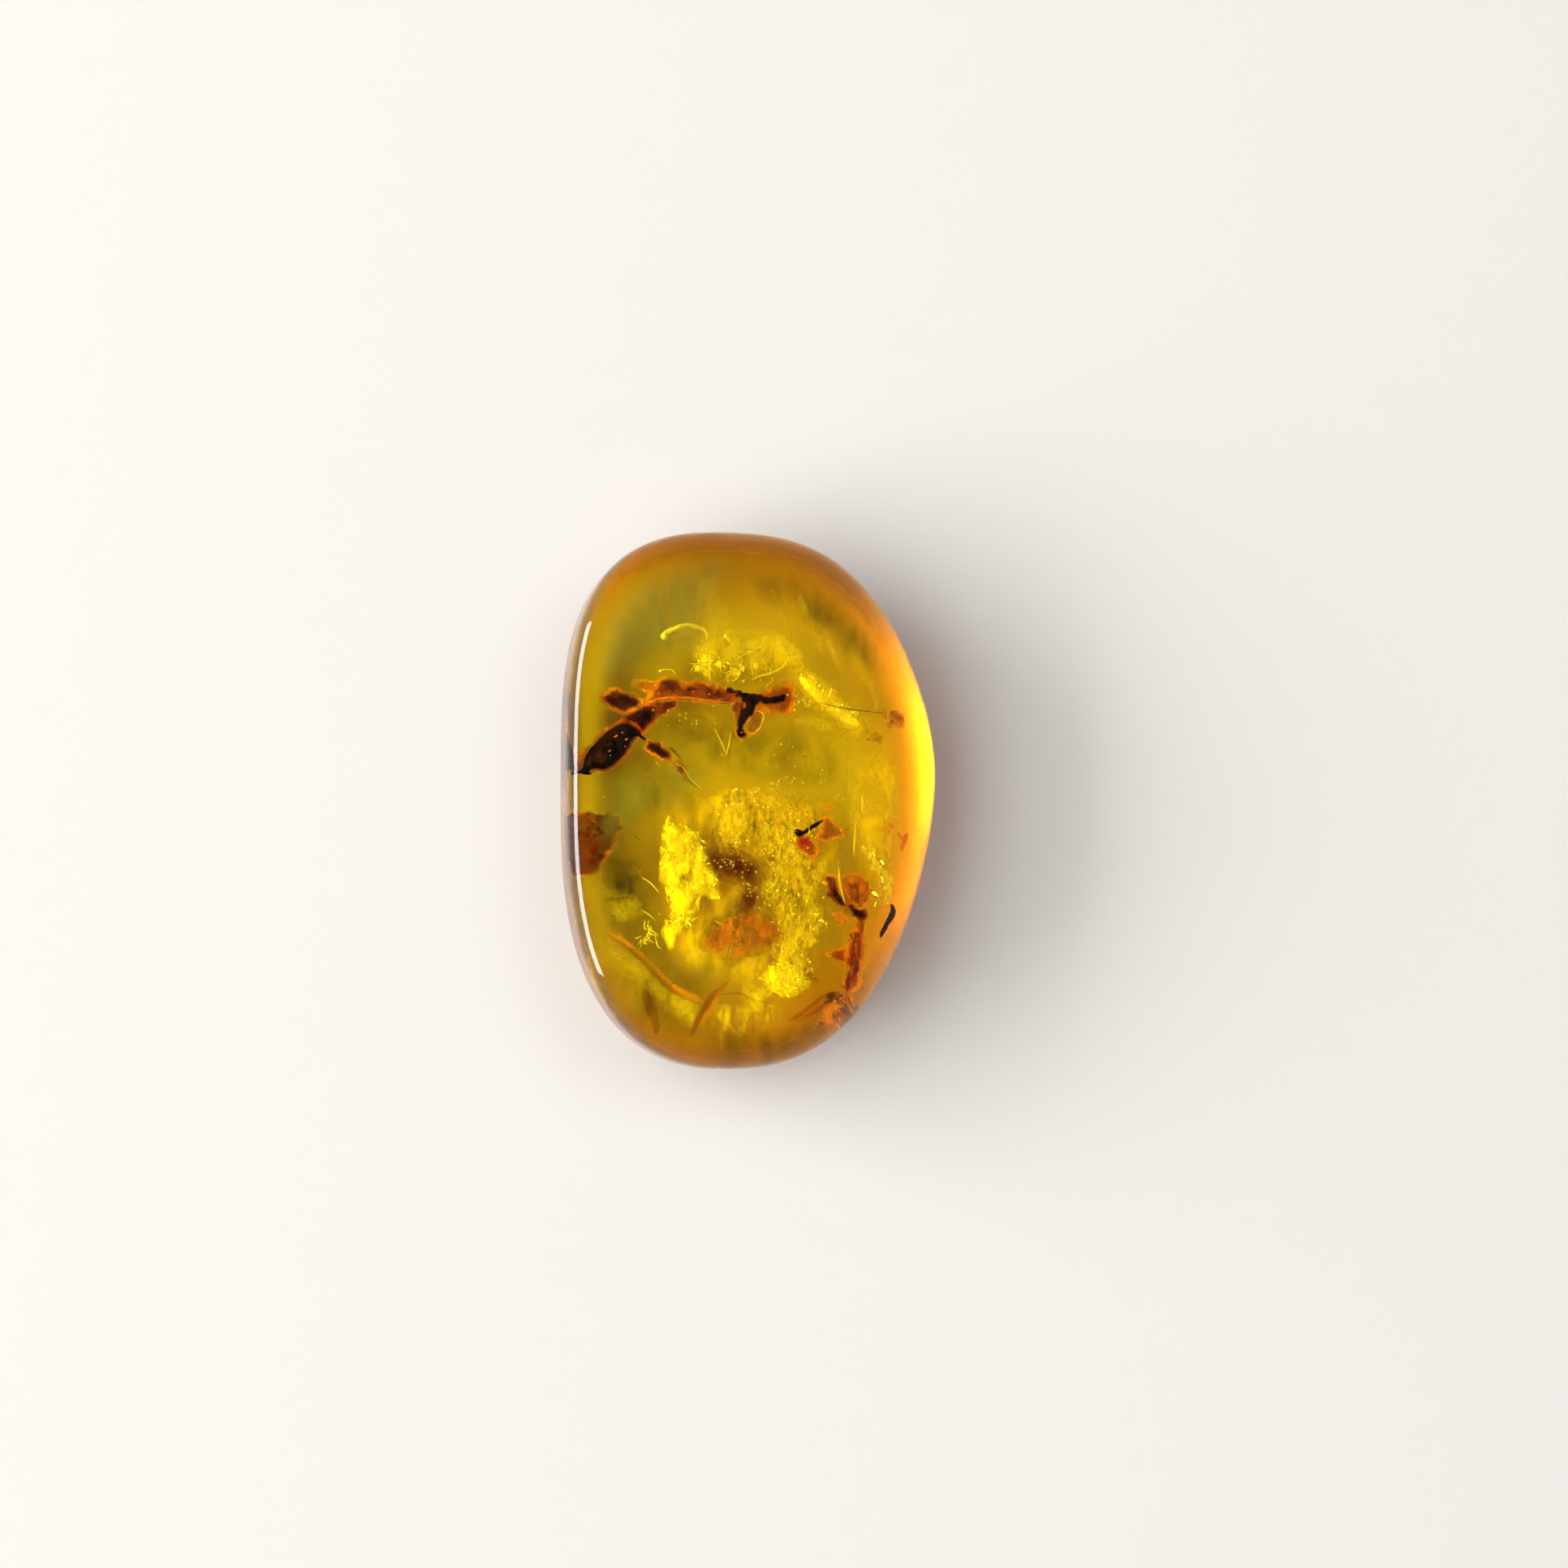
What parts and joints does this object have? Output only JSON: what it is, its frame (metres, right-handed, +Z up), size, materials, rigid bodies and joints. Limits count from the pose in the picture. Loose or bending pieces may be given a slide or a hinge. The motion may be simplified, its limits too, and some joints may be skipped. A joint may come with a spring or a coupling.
{
  "type": "polished amber",
  "caption": "Tumbled, polished piece of clear golden amber with a forked twig and scraps of bark and leaf sealed inside, lying on a flat polished face.",
  "frame": {"origin": "middle of the stone's box, on the flat polished face that it rests on", "axes": "+Y along the stone towards its blunt upper end, +X across it towards its rounder side, +Z up out of its shown face"},
  "size_m": [0.021, 0.0298, 0.008],
  "materials": {
    "amber": "clear golden fossil resin, tumbled and polished",
    "charred_wood": "near-black carbonised wood",
    "brown_wood": "dark brown bark and bare wood",
    "orange_leaf": "resin-soaked orange leaf and rotten wood"
  },
  "bodies": {
    "root": {"amber_lower": "amber", "amber_upper": "amber", "bud": "charred_wood", "bud_scale": "brown_wood", "twig_stem": "brown_wood", "twig_arm_right": "charred_wood", "twig_arm_down": "charred_wood", "seed_husk": "orange_leaf", "bark_chip": "brown_wood", "needle": "charred_wood", "leaf_scrap": "orange_leaf", "leaf_fan": "orange_leaf", "splinter": "charred_wood", "sliver": "orange_leaf", "red_crumb": "orange_leaf", "small_crumb": "orange_leaf", "frond_stalk": "brown_wood", "frond_leaflet": "orange_leaf", "bark_clump": "brown_wood"}
  },
  "joints": []
}
